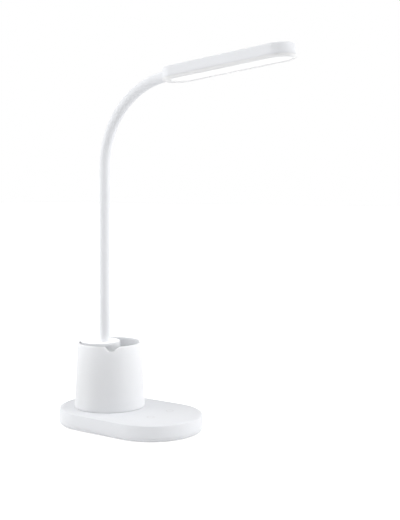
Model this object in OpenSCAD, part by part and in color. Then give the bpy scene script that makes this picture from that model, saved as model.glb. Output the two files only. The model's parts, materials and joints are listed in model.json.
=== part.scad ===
// Desk lamp with a flexible neck, a pen cup with phone notches and a night light.
// Millimetres. The origin is the centre of the base on the desk.
// +X points forward, under the head, and +Z points up.

/* [Base] */
// Length of the base
base_len = 192; // [186:1:220]
// Width of the base
base_wid = 120; // [116:1:136]
// Height of the base with its foot pad
base_ht = 20; // [19.5:0.5:26]
// Wall of the base cover
base_wall = 2.4; // [1.8:0.1:3]
// Width of the crowned border of the base's top
crown_wid = 5.6; // [4:0.2:8]
// Height by which that border falls
crown_drop = 1.6; // [1.2:0.1:2]
// Rounding of the lower edge of the base
base_low_round = 2.6; // [1.5:0.1:3]
// How much narrower each side of the base is at the top
base_draft = 0.7; // [0:0.1:1.2]
// Thickness of the bottom shell of the base
plate_t = 3.5; // [3.2:0.1:4]
// Thickness of the foot pad
pad_t = 1.5; // [1.2:0.1:1.8]
// How far the foot pad stands out of the base
pad_proud = 0.5; // [0.3:0.1:0.8]
// Distance from the side of the base to the edge of the foot pad
pad_inset = 5.5; // [4.5:0.5:6]
// Distance from the side of the base to its screws
screw_inset = 10; // [9.5:0.5:11]

/* [Inside the base] */
// Thickness of the steel weight
ballast_t = 4; // [3:0.5:4.5]
// Distance from the side of the base to the steel weight
ballast_inset = 18; // [16:1:24]
// Length of the battery, across the base
battery_len = 60; // [50:1:64]
// Width of the battery, along the base
battery_wid = 37; // [30:1:38]
// Thickness of the battery
battery_t = 7.2; // [5:0.1:7.2]
// Thickness of the foam pad under the battery
battery_pad_t = 0.8; // [0.5:0.1:0.9]
// Length of the main board, along the base
board_len = 54; // [50:1:58]
// Width of the main board, across the base
board_wid = 60; // [56:1:62]
// Thickness of the circuit boards
board_t = 1.6; // [1:0.1:1.6]
// Height of the posts that carry the main board
board_post_h = 6.5; // [6:0.1:7]
// Width of the charging inlet
inlet_wid = 9; // [8.9:0.1:9.2]
// Height of the charging inlet
inlet_ht = 3.2; // [3.1:0.1:3.4]
// Depth of the charging inlet
inlet_len = 7.4; // [6.5:0.1:8]

/* [Touch spots] */
// Distance from the axis of the cup to the touch spots
touch_ahead = 79.4; // [77:0.2:82]
// Distance from each touch spot to the middle of the base
touch_side = 18.8; // [15:0.2:20]
// Diameter of a touch mark
touch_d = 9.6; // [8:0.2:12]
// Width of the line of a touch mark
touch_line = 1; // [0.8:0.1:1.4]

/* [Cup] */
// Height of the cup
cup_ht = 79; // [72:1:90]
// Diameter of the cup at the base
cup_low_d = 87.4; // [86:0.2:92]
// Diameter of the cup at its rim
cup_top_d = 79.4; // [78:0.2:84]
// Wall of the cup
cup_wall = 2.2; // [1.8:0.1:2.6]
// Floor of the cup
cup_floor = 2.5; // [2:0.1:3]
// How far the axis of the cup is ahead of the round rear end's centre
cup_ahead = 3.4; // [2.5:0.1:4]
// How far the notches are ahead of the axis of the cup
notch_ahead = 26.6; // [24:0.2:27]
// Depth of the notches
notch_depth = 5.6; // [5.2:0.1:6.4]
// Slope of the sides of the notches, from level
notch_slope = 52; // [48:1:60]
// Radius of the rounded shoulders and feet of the notches
notch_round = 2; // [1.6:0.1:2.4]
// Width of the flat bottom of the notches
notch_flat = 2.6; // [1.8:0.1:3.2]

/* [Column and night light] */
// Diameter of the light column's round front
column_d = 50; // [49:0.5:51]
// How far the axis of that round is behind the axis of the cup
column_back = 15.8; // [15.4:0.1:16.2]
// Wall of the light column
column_wall = 1.8; // [1.5:0.1:2]
// Width of the ring around the night light
night_ring = 1; // [0.9:0.1:1.3]
// Thickness of the night light's window
night_t = 2.5; // [2:0.1:3]
// Depth of the night light's board below the rim
night_board_depth = 15; // [12:0.5:20]
// Number of night light LEDs
night_led_count = 8; // [6:1:10]

/* [Neck] */
// Outer diameter of the neck
neck_d = 13.2; // [12.6:0.1:13.4]
// Wall of the neck's sleeve
sleeve_wall = 2; // [1.7:0.1:2.2]
// Diameter of the bore of the steel core
core_bore_d = 4.2; // [4:0.1:4.6]
// Diameter of the wires in the core
wires_d = 3.6; // [3:0.1:3.8]
// How far the neck is ahead of the axis of the column
neck_ahead = 7.5; // [7:0.1:7.9]
// Height of the neck above the cup where its arc begins
neck_rise = 218; // [190:2:240]
// Radius of the neck's arc
bend_r = 108; // [100:1:125]
// Height of the lowest bending place above the cup
first_bend_ht = 30; // [26:1:40]
// Radius of the rounded end of each length of the neck
ball_r = 7.5; // [7.3:0.1:7.8]
// Gap between one length of the neck and the next
ball_gap = 0.3; // [0.25:0.05:0.4]

/* [Head] */
// Length of the head
head_len = 175.5; // [165:0.5:200]
// Width of the head
head_wid = 41.6; // [40:0.2:48]
// Thickness of the head
head_ht = 16.2; // [16:0.1:18]
// Wall of the head cover
head_wall = 1.8; // [1.5:0.1:1.9]
// Rounding of the lower edge of the head
head_low_round = 3.5; // [3:0.1:3.6]
// Rounding of the upper edge of the head
head_top_round = 1.2; // [0.8:0.1:1.6]
// How much narrower each side of the head is at the top
head_draft = 0.5; // [0:0.1:0.6]
// Rise of the head towards its tip, in degrees
head_tilt = 5.7; // [2:0.1:9]
// Width of the frame around the lit window
frame_wid = 5; // [4.6:0.1:5.5]
// Length of the frame behind the lit window
frame_rear = 11; // [10:0.5:14]
// Thickness of the lit window
window_t = 1.6; // [1.2:0.1:1.6]
// Number of LEDs in each row of the head
led_count = 18; // [8:1:20]
// Distance between the two rows of LEDs
led_row_gap = 13; // [12:0.5:16]

/* [Screws] */
// Radius of the thread of the large screws
screw_r = 1.25; // [1.1:0.05:1.4]
// Radius of the head of the large screws
screw_head_r = 2.7; // [2.4:0.1:2.8]
// Height of the head of the screws
screw_head_h = 1.5; // [1.2:0.1:1.6]
// Radius of the thread of the small screws
small_screw_r = 1; // [0.8:0.05:1.1]
// Radius of the head of the small screws
small_head_r = 2; // [1.8:0.1:2.2]

/* [Hidden] */
$fn = 96;

white = [0.94, 0.94, 0.94];
soft_white = [0.96, 0.96, 0.96];
glow = [1, 1, 0.97];
mark_grey = [0.72, 0.72, 0.74];
steel = [0.62, 0.63, 0.65];
board_green = [0.10, 0.38, 0.20];
chip_black = [0.12, 0.12, 0.13];
led_yellow = [0.98, 0.90, 0.55];

last_link = 8;
lower_links = 4;

// Small gaps between pieces that fit together.
fit_gap = 0.1;
slip_gap = 0.3;
pilot_gap = 0.05;
// Extra depth of a cut past a face.
past = 1;

// Base
base_r = base_wid / 2;
base_half = (base_len - base_wid) / 2;
plate_top = pad_proud + plate_t;
pad_top = pad_t;
cover_under = base_ht - base_wall;
cavity_r = base_r - base_wall - base_draft / 2;
crown_x = base_r - base_draft - crown_wid;
crown_r = (crown_wid * crown_wid + crown_drop * crown_drop) / (2 * crown_drop);
seam_ht = 0.4;
seam_deep = 0.5;
locating_lip = 1.2;
pad_r = base_r - pad_inset;
screw_ring_r = base_r - screw_inset;
screw_boss_r = 3.6;
end_screw_angle = 45;
boss_end_gap = 2.5;
base_screw_len = cover_under - pad_top - screw_head_h - 2 * boss_end_gap;

// Cup and column
cup_x = cup_ahead - base_half;
cup_top = base_ht + cup_ht;
cup_floor_top = base_ht + cup_floor;
cup_low_r = cup_low_d / 2;
cup_top_r = cup_top_d / 2;
cup_foot_round = 3;
notch_x = cup_x + notch_ahead;
notch_round_out = notch_round * sin(notch_slope);
notch_round_drop = notch_round * (1 - cos(notch_slope));
notch_run = (notch_depth - 2 * notch_round_drop) / tan(notch_slope);
notch_half = notch_flat / 2 + 2 * notch_round_out + notch_run;
column_r = column_d / 2;
column_rear_r = cup_top_r - cup_wall - fit_gap;
column_x = cup_x - column_back;
column_foot_t = 2;
column_edge_round = 0.5;
ledge = 2.2;
ledge_t = 1.5;
column_boss_r = 3.8;
column_boss_h = 11;
column_screw_ring = 16;
column_screw_len = 11;
night_board_z = cup_top - night_board_depth;
night_led_ring = 16.4;
web_z = 40;
web_t = 3;
cup_floor_r = cup_low_r - cup_wall - (cup_low_r - cup_top_r) * cup_floor / cup_ht;
night_lead_back = 7.6;
night_lead_x = column_x - night_lead_back;
lead_slot = 5;
lead_opening_r = 4;

// Boards, battery and weight
battery_z = plate_top + ballast_t + battery_pad_t;
board_z = plate_top + board_post_h;
board_top = board_z + board_t;
board_post_r = 3.2;
board_post_inset = 4.5;
small_screw_len = 6;
connector_len = 6;
connector_wid = 8;
connector_ht = 4;
ballast_end_gap = 6;
board_ahead_of_touch = 2;
board_x = cup_x + touch_ahead + board_ahead_of_touch;
battery_board_gap = 8;
battery_x = board_x - board_len / 2 - battery_board_gap - battery_wid / 2;
connector_inset = 9;
connector_side_inset = 14;
connector_x = board_x - board_len / 2 + connector_inset;
connector_y = board_wid / 2 - connector_side_inset;
chip_wid = 8;
chip_t = 1.2;
chip_ahead = 6;
chip_x = board_x + chip_ahead;
coil_r = 3.5;
coil_h = 3.2;
coil_ahead = 15;
coil_x = board_x + coil_ahead;
small_part = [4, 3, 1.4];
small_part_y = 20;
screw_end_gap = 0.5;
mark_deep = 0.4;
touch_spring_r = touch_d / 2 - touch_line;
touch_spring_wall = 0.6;

// Leads
lead_r = 0.8;
bend_bead = 0.1;
lead_pitch = 3;
lead_over_weight = 2.6;
lead_low_z = plate_top + ballast_t + lead_over_weight;
lead_z = board_top + connector_ht / 2;
night_lead_y = battery_len / 2 + lead_r + slip_gap;
charge_lead_y = night_lead_y + lead_pitch;
lead_turn_x = board_x - (board_len + battery_board_gap) / 2;
lead_turn_step = 2;
lead_loop = 3;
battery_lead_drop = 2;
night_lead_drop = 6;

// Charging board and inlet
charge_board_back = 3;
charge_board_len = 17;
charge_board_wid = 24;
charge_post_h = 3.5;
charge_board_z = plate_top + charge_post_h;
charge_screw_len = charge_post_h - screw_end_gap + board_t;
charge_board_x = -base_len / 2 + base_wall + base_draft + charge_board_back;
charge_post_x = charge_board_x + charge_board_len - board_post_inset;
charge_post_y = charge_board_wid / 2 - board_post_inset;
inlet_z = charge_board_z + board_t + inlet_ht / 2;
inlet_recess = 0.2;
inlet_x = -base_len / 2 + base_draft + inlet_recess;
inlet_wall = 0.3;
inlet_back_wall = 1;
tongue_t = 0.7;
tongue_wid = 6.6;
tongue_back = 1.2;

// Neck
neck_r = neck_d / 2;
neck_x = column_x + neck_ahead;
core_r = neck_r - sleeve_wall - fit_gap;
core_bore_r = core_bore_d / 2;
wires_r = wires_d / 2;
bend_z = cup_top + neck_rise;
arc_angle = 90 - head_tilt;
arc_step = arc_angle / (last_link - lower_links);
lower_step = (neck_rise - first_bend_ht) / lower_links;
stub_spare = 0.7;
stub_len = ball_r + ball_gap + stub_spare;
link_r = bend_r - stub_len / tan(arc_step / 2);
weld_len = 0.6;
weld_step = 0.1;
flange_t = 3;
flange_step = 1.4;
flange_r = neck_r + flange_step;
shank_wall = 0.9;
shank_r = core_r + shank_wall;
shank_below_web = 9;
socket_floor = 2;
nut_wid = 16;
nut_t = 5;
sleeve_foot_z = web_z + web_t + flange_t;
core_foot_z = web_z - shank_below_web + socket_floor;

// Head, measured in its own frame: x from the middle to the tip, z up from the underside
head_r = head_wid / 2;
head_half = head_len / 2 - head_r;
head_over_neck = 1;
neck_in_head_z = head_ht / 2;
head_under = head_ht - head_wall;
head_lip_t = 1;
head_lip_h = 2;
window_z = 1;
window_r = head_r - frame_wid;
window_edge = 1.2;
window_shift = (frame_rear - frame_wid) / 2;
window_half = head_half - window_shift;
sleeve_in_head = 6;
block_len = 20;
block_wid = 20;
block_wall = 0.8;
block_ht = 2 * (core_r + pilot_gap + block_wall);
block_x = sleeve_in_head + head_over_neck - head_len / 2;
block_z = neck_in_head_z - block_ht / 2;
block_screw_y = 7.2;
core_in_block = 14;
led_board_gap = 4;
led_board_x = block_x + block_len + led_board_gap;
led_board_tip_gap = 10;
led_board_len = head_len / 2 - led_board_tip_gap - led_board_x;
led_board_wid = 27;
led_board_under = 5.4;
led_board_z = head_under - led_board_under;
head_screw_len = head_under - led_board_z - screw_end_gap;
head_lead_y = 6;
head_lead_loop = 1.5;
head_lead_end = 5;
led_len = 3.5;
led_wid = 2.8;
led_t = 0.8;
head_screw_count = 4;
head_boss_r = 2.6;

// ---------- Shapes used by several pieces ----------

// A racetrack-shaped solid. Its child is the profile from the middle line outwards.
module racetrack(half) {
    for (turn = [0, 180])
        rotate([0, 0, turn])
            translate([half, 0, 0])
                rotate([0, 0, -90])
                    rotate_extrude(angle = 180)
                        children();
    translate([-half, 0, 0])
        rotate([90, 0, 90])
            linear_extrude(2 * half) {
                children();
                mirror([1, 0])
                    children();
            }
}

// A flat racetrack plate.
module racetrack_plate(half, r, z, t) {
    racetrack(half)
        translate([0, z])
            square([r, t]);
}

// Profile of a shell: half width low_r at z0 and top_r at z1, with rounded edges.
module edge_profile(low_r, top_r, z0, z1, low_round, top_round) {
    polygon([
        [0, z0], [low_r - low_round, z0], [low_r, z0 + low_round],
        [top_r, z1 - top_round], [top_r - top_round, z1], [0, z1]
    ]);
    if (low_round > 0)
        translate([low_r - low_round, z0 + low_round])
            circle(low_round);
    if (top_round > 0)
        translate([top_r - top_round, z1 - top_round])
            circle(top_round);
}

// A screw with its head down at z and its thread upwards.
module screw_up(z, len, thread_r, head_r) {
    translate([0, 0, z])
        cylinder(r = head_r, h = screw_head_h);
    translate([0, 0, z + screw_head_h])
        cylinder(r = thread_r, h = len);
}

// A screw with its head up on the face at z and its thread downwards.
module screw_down(z, len, thread_r, head_r) {
    translate([0, 0, z])
        cylinder(r = head_r, h = screw_head_h);
    translate([0, 0, z - len])
        cylinder(r = thread_r, h = len);
}

// A wire along straight runs, with a slightly thicker ball at each bend.
module wire_run(points, r) {
    for (i = [0:len(points) - 2]) {
        step = points[i + 1] - points[i];
        flat = norm([step[0], step[1]]);
        translate(points[i])
            rotate([0, atan2(flat, step[2]), atan2(step[1], step[0])])
                cylinder(r = r, h = norm(step));
    }
    for (i = [1:1:len(points) - 2])
        translate(points[i])
            sphere(r + bend_bead);
}

// ---------- Base ----------

module at_base_screws() {
    for (side = [-1, 1]) {
        translate([0, side * screw_ring_r, 0])
            children();
        for (end = [-1, 1])
            translate([
                end * (base_half + screw_ring_r * cos(end_screw_angle)),
                side * screw_ring_r * sin(end_screw_angle), 0
            ])
                children();
    }
}

module at_column_screws() {
    translate([column_x, 0, 0])
        for (turn = [60, 180, 300])
            rotate([0, 0, turn])
                translate([column_screw_ring, 0, 0])
                    children();
}

module at_touch_spots() {
    for (side = [-1, 1])
        translate([cup_x + touch_ahead, side * touch_side, 0])
            children();
}

module base_shape() {
    intersection() {
        edge_profile(base_r, base_r - base_draft, pad_proud, base_ht, base_low_round, 0);
        union() {
            square([crown_x, base_ht]);
            square([base_r, base_ht - 2 * crown_drop]);
            translate([crown_x, base_ht - crown_r])
                circle(crown_r);
        }
    }
}

// Slot through the rear wall for the charging plug.
module inlet_opening(gap) {
    w = inlet_wid + 2 * gap;
    h = inlet_ht + 2 * gap;
    translate([-base_len / 2 - past, 0, inlet_z])
        rotate([90, 0, 90])
            linear_extrude(base_wall + charge_board_back + 2 * past) {
                square([w - h, h], center = true);
                for (side = [-1, 1])
                    translate([side * (w - h) / 2, 0])
                        circle(h / 2);
            }
}

module lead_opening(r) {
    slot_x = neck_x - lead_slot;
    translate([neck_x, 0, 0])
        cylinder(r = r, h = cup_floor_top + column_foot_t + past);
    translate([slot_x, 0, 0])
        cylinder(r = r, h = cup_floor_top + column_foot_t + past);
    translate([slot_x, -r, 0])
        cube([lead_slot, 2 * r, cup_floor_top + column_foot_t + past]);
}

module touch_mark_shape(d, shrink) {
    difference() {
        circle(d / 2 - shrink);
        circle(d / 2 - touch_line + shrink);
    }
}

module base_cover() {
    color(white)
        difference() {
            union() {
                difference() {
                    racetrack(base_half)
                        intersection() {
                            base_shape();
                            translate([0, plate_top])
                                square([base_r, base_ht]);
                        }
                    racetrack_plate(base_half, cavity_r, plate_top - past, cover_under - plate_top + past);
                }
                at_base_screws()
                    translate([0, 0, plate_top])
                        cylinder(r = screw_boss_r, h = cover_under - plate_top);
            }
            at_base_screws()
                translate([0, 0, plate_top - past])
                    cylinder(r = screw_r + pilot_gap, h = cover_under - plate_top - boss_end_gap + past);
            at_column_screws()
                cylinder(r = screw_r + slip_gap, h = base_ht + past);
            lead_opening(lead_opening_r);
            inlet_opening(slip_gap);
            at_touch_spots()
                translate([0, 0, base_ht - mark_deep])
                    linear_extrude(mark_deep + past)
                        touch_mark_shape(touch_d, 0);
        }
}

module at_board_posts() {
    for (x = [-1, 1])
        for (y = [-1, 1])
            translate([
                board_x + x * (board_len / 2 - board_post_inset),
                y * (board_wid / 2 - board_post_inset), 0
            ])
                children();
}

module at_charge_posts() {
    for (side = [-1, 1])
        translate([charge_post_x, side * charge_post_y, 0])
            children();
}

module base_plate() {
    color(white)
        difference() {
            union() {
                racetrack(base_half)
                    difference() {
                        intersection() {
                            base_shape();
                            square([base_r, plate_top]);
                        }
                        translate([base_r - seam_deep - base_draft / 2, plate_top - seam_ht])
                            square([base_r, seam_ht]);
                    }
                racetrack(base_half)
                    translate([cavity_r - fit_gap - locating_lip, plate_top])
                        square([locating_lip, locating_lip]);
                at_board_posts()
                    translate([0, 0, plate_top])
                        cylinder(r = board_post_r, h = board_post_h);
                at_charge_posts()
                    translate([0, 0, plate_top])
                        cylinder(r = board_post_r, h = charge_post_h);
            }
            racetrack_plate(base_half, pad_r + fit_gap, pad_proud - past, pad_top - pad_proud + past);
            at_base_screws() {
                cylinder(r = screw_head_r + slip_gap, h = pad_top + screw_head_h + fit_gap);
                cylinder(r = screw_r + slip_gap, h = plate_top + past);
                translate([0, 0, plate_top])
                    cylinder(r = screw_boss_r + slip_gap, h = locating_lip + past);
            }
            at_board_posts()
                translate([0, 0, board_z - small_screw_len])
                    cylinder(r = small_screw_r + pilot_gap, h = small_screw_len + past);
            at_charge_posts()
                translate([0, 0, plate_top])
                    cylinder(r = small_screw_r + pilot_gap, h = charge_post_h + past);
        }
}

module foot_pad() {
    color(mark_grey)
        racetrack_plate(base_half, pad_r, 0, pad_t);
}

module ballast_plate() {
    color(steel)
        difference() {
            racetrack_plate(base_half - ballast_end_gap, base_r - ballast_inset, plate_top, ballast_t);
            at_board_posts()
                translate([0, 0, plate_top - past])
                    cylinder(r = board_post_r + slip_gap, h = ballast_t + 2 * past);
        }
}

module base_screws() {
    color(steel)
        at_base_screws()
            screw_up(pad_top + fit_gap, base_screw_len, screw_r, screw_head_r);
}

module battery() {
    color(mark_grey)
        translate([battery_x - battery_wid / 2, -battery_len / 2, battery_z])
            cube([battery_wid, battery_len, battery_t]);
}

module battery_pad() {
    color(chip_black)
        translate([battery_x - battery_wid / 2, -battery_len / 2, battery_z - battery_pad_t])
            cube([battery_wid, battery_len, battery_pad_t]);
}

module main_board() {
    color(board_green)
        difference() {
            translate([board_x - board_len / 2, -board_wid / 2, board_z])
                cube([board_len, board_wid, board_t]);
            at_board_posts()
                translate([0, 0, board_z - past])
                    cylinder(r = small_screw_r + slip_gap, h = board_t + 2 * past);
        }
}

module connector(x, y) {
    translate([x, y - connector_wid / 2, board_top])
        cube([connector_len, connector_wid, connector_ht]);
}

module board_parts() {
    color(chip_black) {
        for (side = [-1, 0, 1])
            connector(connector_x, side * connector_y);
        translate([chip_x - chip_wid / 2, -chip_wid / 2, board_top])
            cube([chip_wid, chip_wid, chip_t]);
        translate([coil_x, 0, board_top])
            cylinder(r = coil_r, h = coil_h);
        for (side = [-1, 1])
            translate([coil_x, side * small_part_y - small_part[1] / 2, board_top])
                cube(small_part);
    }
}

module board_screws() {
    color(steel) {
        at_board_posts()
            screw_down(board_top, small_screw_len - past + board_t, small_screw_r, small_head_r);
        at_charge_posts()
            screw_down(charge_board_z + board_t, charge_screw_len, small_screw_r, small_head_r);
    }
}

module charge_board() {
    color(board_green)
        difference() {
            translate([charge_board_x, -charge_board_wid / 2, charge_board_z])
                cube([charge_board_len, charge_board_wid, board_t]);
            at_charge_posts()
                translate([0, 0, charge_board_z - past])
                    cylinder(r = small_screw_r + slip_gap, h = board_t + 2 * past);
        }
}

module inlet_outline(shrink) {
    w = inlet_wid - 2 * shrink;
    h = inlet_ht - 2 * shrink;
    square([w - h, h], center = true);
    for (side = [-1, 1])
        translate([side * (w - h) / 2, 0])
            circle(h / 2);
}

module usb_inlet() {
    color(steel)
        translate([inlet_x, 0, inlet_z])
            rotate([90, 0, 90]) {
                difference() {
                    linear_extrude(inlet_len)
                        inlet_outline(0);
                    translate([0, 0, -past])
                        linear_extrude(inlet_len - inlet_back_wall + past)
                            inlet_outline(inlet_wall);
                }
                translate([-tongue_wid / 2, -tongue_t / 2, tongue_back])
                    cube([tongue_wid, tongue_t, inlet_len - tongue_back]);
            }
}

module touch_springs() {
    color(steel)
        at_touch_spots()
            translate([0, 0, board_top])
                difference() {
                    cylinder(r = touch_spring_r, h = cover_under - board_top);
                    translate([0, 0, -past])
                        cylinder(r = touch_spring_r - touch_spring_wall, h = cover_under);
                }
}

module touch_marks() {
    color(mark_grey)
        at_touch_spots()
            translate([0, 0, base_ht - mark_deep])
                linear_extrude(mark_deep)
                    touch_mark_shape(touch_d, fit_gap / 2);
}

module base_leads() {
    pair_y = lead_pitch / 2;
    start_x = charge_board_x + charge_board_len;
    turn_x = lead_turn_x + lead_turn_step;
    end_y = connector_y + lead_turn_step;
    color(chip_black) {
        for (side = [-1, 1])
            wire_run([
                [battery_x + battery_wid / 2, side * pair_y, battery_z + battery_t - battery_lead_drop],
                [connector_x, side * pair_y, lead_z]
            ], lead_r);
        wire_run([
            [start_x, 0, charge_board_z + board_t / 2],
            [start_x + lead_loop, 0, lead_low_z],
            [start_x + lead_loop, charge_lead_y, lead_low_z],
            [turn_x, charge_lead_y, lead_low_z],
            [turn_x, end_y, lead_z],
            [connector_x, end_y, lead_z]
        ], lead_r);
    }
}

// ---------- Cup and light column ----------

module cup_profile() {
    polygon([
        [0, base_ht], [cup_low_r, base_ht], [cup_top_r, cup_top - cup_wall / 2],
        [cup_top_r - cup_wall, cup_top - cup_wall / 2], [cup_floor_r, cup_floor_top], [0, cup_floor_top]
    ]);
    translate([cup_top_r - cup_wall / 2, cup_top - cup_wall / 2])
        circle(cup_wall / 2);
    translate([cup_floor_r - cup_foot_round, cup_floor_top])
        difference() {
            square([cup_foot_round, cup_foot_round]);
            translate([0, cup_foot_round])
                circle(cup_foot_round);
        }
}

// Outline of a phone notch, with its middle at x = 0 and the rim at y = 0.
module notch_outline() {
    half_flat = notch_flat / 2;
    foot_x = half_flat + notch_round_out;
    shoulder_x = notch_half - notch_round_out;
    difference() {
        union() {
            polygon([
                [half_flat, -notch_depth],
                [foot_x, notch_round_drop - notch_depth],
                [shoulder_x, -notch_round_drop],
                [notch_half, 0],
                [notch_half, past],
                [-notch_half, past],
                [-notch_half, 0],
                [-shoulder_x, -notch_round_drop],
                [-foot_x, notch_round_drop - notch_depth],
                [-half_flat, -notch_depth]
            ]);
            for (side = [-1, 1])
                translate([side * half_flat, notch_round - notch_depth])
                    circle(notch_round);
        }
        for (side = [-1, 1])
            translate([side * notch_half, -notch_round])
                circle(notch_round);
    }
}

module bucket() {
    color(white)
        difference() {
            translate([cup_x, 0, 0])
                rotate_extrude()
                    cup_profile();
            translate([notch_x, cup_low_r, cup_top])
                rotate([90, 0, 0])
                    linear_extrude(2 * cup_low_r)
                        notch_outline();
            lead_opening(lead_opening_r);
            at_column_screws()
                cylinder(r = screw_r + slip_gap, h = cup_floor_top + past);
        }
}

// Outside of the light column, round in front and following the wall of the cup behind.
module column_body() {
    intersection() {
        translate([column_x, 0, cup_floor_top])
            rotate_extrude() {
                square([column_r - column_edge_round, cup_top - cup_floor_top]);
                square([column_r, cup_top - cup_floor_top - column_edge_round]);
                translate([column_r - column_edge_round, cup_top - cup_floor_top - column_edge_round])
                    circle(column_edge_round);
            }
        translate([cup_x, 0, cup_floor_top])
            cylinder(r = column_rear_r, h = cup_top - cup_floor_top);
    }
}

// A plate of the column's outline, drawn in by inset.
module column_plate(inset, z, h) {
    intersection() {
        translate([column_x, 0, z])
            cylinder(r = column_r - inset, h = h);
        translate([cup_x, 0, z])
            cylinder(r = column_rear_r - inset, h = h);
    }
}

module column_ledge(z) {
    difference() {
        column_plate(column_wall / 2, z, ledge_t);
        column_plate(column_wall + ledge, z - past, ledge_t + 2 * past);
    }
}

module light_column() {
    inside_z = cup_floor_top + column_foot_t;
    color(white)
        difference() {
            union() {
                difference() {
                    column_body();
                    column_plate(column_wall, inside_z, cup_top - inside_z + past);
                }
                column_ledge(cup_top - night_t - ledge_t);
                column_ledge(night_board_z - ledge_t);
                column_plate(column_wall / 2, web_z, web_t);
                at_column_screws()
                    translate([0, 0, cup_floor_top])
                        cylinder(r = column_boss_r, h = column_boss_h);
            }
            column_plate(night_ring, cup_top - night_t, night_t + past);
            at_column_screws()
                translate([0, 0, cup_floor_top - past])
                    cylinder(r = screw_r + pilot_gap, h = column_boss_h);
            translate([neck_x, 0, web_z - past])
                cylinder(r = shank_r + fit_gap, h = web_t + 2 * past);
            translate([night_lead_x, 0, web_z - past])
                cylinder(r = lead_r + slip_gap, h = web_t + 2 * past);
            lead_opening(lead_opening_r);
        }
}

module column_screws() {
    color(steel)
        at_column_screws()
            screw_up(cover_under - screw_head_h, column_screw_len, screw_r, screw_head_r);
}

module night_diffuser() {
    color(glow)
        difference() {
            column_plate(night_ring + fit_gap, cup_top - night_t, night_t);
            translate([neck_x, 0, cup_top - night_t - past])
                cylinder(r = neck_r + slip_gap, h = night_t + 2 * past);
        }
}

module night_board() {
    color(board_green)
        difference() {
            column_plate(column_wall + fit_gap, night_board_z, board_t);
            translate([neck_x, 0, night_board_z - past])
                cylinder(r = neck_r + slip_gap, h = board_t + 2 * past);
        }
}

module night_leds() {
    color(led_yellow)
        translate([column_x, 0, night_board_z + board_t])
            for (i = [0:night_led_count - 1])
                rotate([0, 0, i * 360 / night_led_count])
                    translate([night_led_ring - led_wid / 2, -led_len / 2, 0])
                        cube([led_wid, led_len, led_t]);
}

// ---------- Foot of the neck ----------

module neck_ferrule() {
    color(steel)
        translate([neck_x, 0, 0])
            difference() {
                union() {
                    translate([0, 0, web_z + web_t])
                        cylinder(r = flange_r, h = flange_t);
                    translate([0, 0, web_z - shank_below_web])
                        cylinder(r = shank_r, h = shank_below_web + web_t);
                }
                translate([0, 0, core_foot_z])
                    cylinder(r = core_r + pilot_gap, h = sleeve_foot_z - core_foot_z + past);
                translate([0, 0, core_foot_z - socket_floor - past])
                    cylinder(r = core_bore_r, h = socket_floor + 2 * past);
            }
}

module neck_nut() {
    color(steel)
        translate([neck_x, 0, web_z - nut_t])
            difference() {
                cylinder(r = nut_wid / sqrt(3), h = nut_t, $fn = 6);
                translate([0, 0, -past])
                    cylinder(r = shank_r + pilot_gap, h = nut_t + 2 * past);
            }
}

module neck_leads() {
    slot_x = neck_x - lead_slot;
    shank_end_z = web_z - shank_below_web;
    night_turn_x = lead_turn_x - lead_turn_step;
    night_end_y = connector_y - lead_turn_step;
    color(chip_black) {
        wire_run([
            [neck_x, 0, core_foot_z],
            [neck_x, 0, lead_low_z],
            [neck_x, -charge_lead_y, lead_low_z],
            [lead_turn_x, -charge_lead_y, lead_low_z],
            [lead_turn_x, -connector_y, lead_z],
            [connector_x, -connector_y, lead_z]
        ], lead_r);
        wire_run([
            [night_lead_x, 0, night_board_z],
            [night_lead_x, 0, shank_end_z],
            [slot_x, 0, shank_end_z - night_lead_drop],
            [slot_x, 0, lead_low_z],
            [slot_x, night_lead_y, lead_low_z],
            [night_turn_x, night_lead_y, lead_low_z],
            [night_turn_x, night_end_y, lead_z],
            [connector_x, night_end_y, lead_z]
        ], lead_r);
    }
}

// ---------- Neck ----------
// The neck bends at joints 1 to 8. Link i runs from joint i to joint i + 1. Link 0 starts in the
// column and link 8 ends in the head. Each link has a ball-shaped lower end and a hollow upper end
// around the next joint, so that it can turn there without touching.

function joint_angle(i) = i <= lower_links ? 0 : (i - lower_links - 1) * arc_step;
function joint_x(i) = neck_x + bend_r * (1 - cos(joint_angle(i)));
function joint_z(i) = i <= lower_links
    ? cup_top + first_bend_ht + (i - 1) * lower_step
    : bend_z + bend_r * sin(joint_angle(i));

module at_joint(i) {
    translate([joint_x(i), 0, joint_z(i)])
        rotate([0, joint_angle(i), 0])
            children();
}

// A straight run of tube upwards from a joint, as a turned profile.
module tube(ro, ri, len, ball_end, hollow_end) {
    rotate_extrude()
        difference() {
            union() {
                translate([ri, 0])
                    square([ro - ri, len]);
                if (ball_end)
                    intersection() {
                        translate([ri, -ball_r])
                            square([ro - ri, ball_r]);
                        circle(ball_r);
                    }
            }
            if (hollow_end)
                translate([0, len])
                    circle(ball_r + ball_gap);
        }
}

// The curved run between two stubs. It is slimmer than they are, and they reach a little into it.
module tube_arc(ro, ri) {
    translate([link_r, 0, stub_len])
        rotate([0, 0, 180])
            rotate([90, 0, 0])
                rotate_extrude(angle = arc_step)
                    translate([link_r, 0])
                        difference() {
                            circle(ro - weld_step);
                            if (ri > 0)
                                circle(ri + weld_step);
                        }
}

module at_arc_end() {
    translate([link_r * (1 - cos(arc_step)), 0, stub_len + link_r * sin(arc_step)])
        rotate([0, arc_step, 0])
            children();
}

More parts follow.
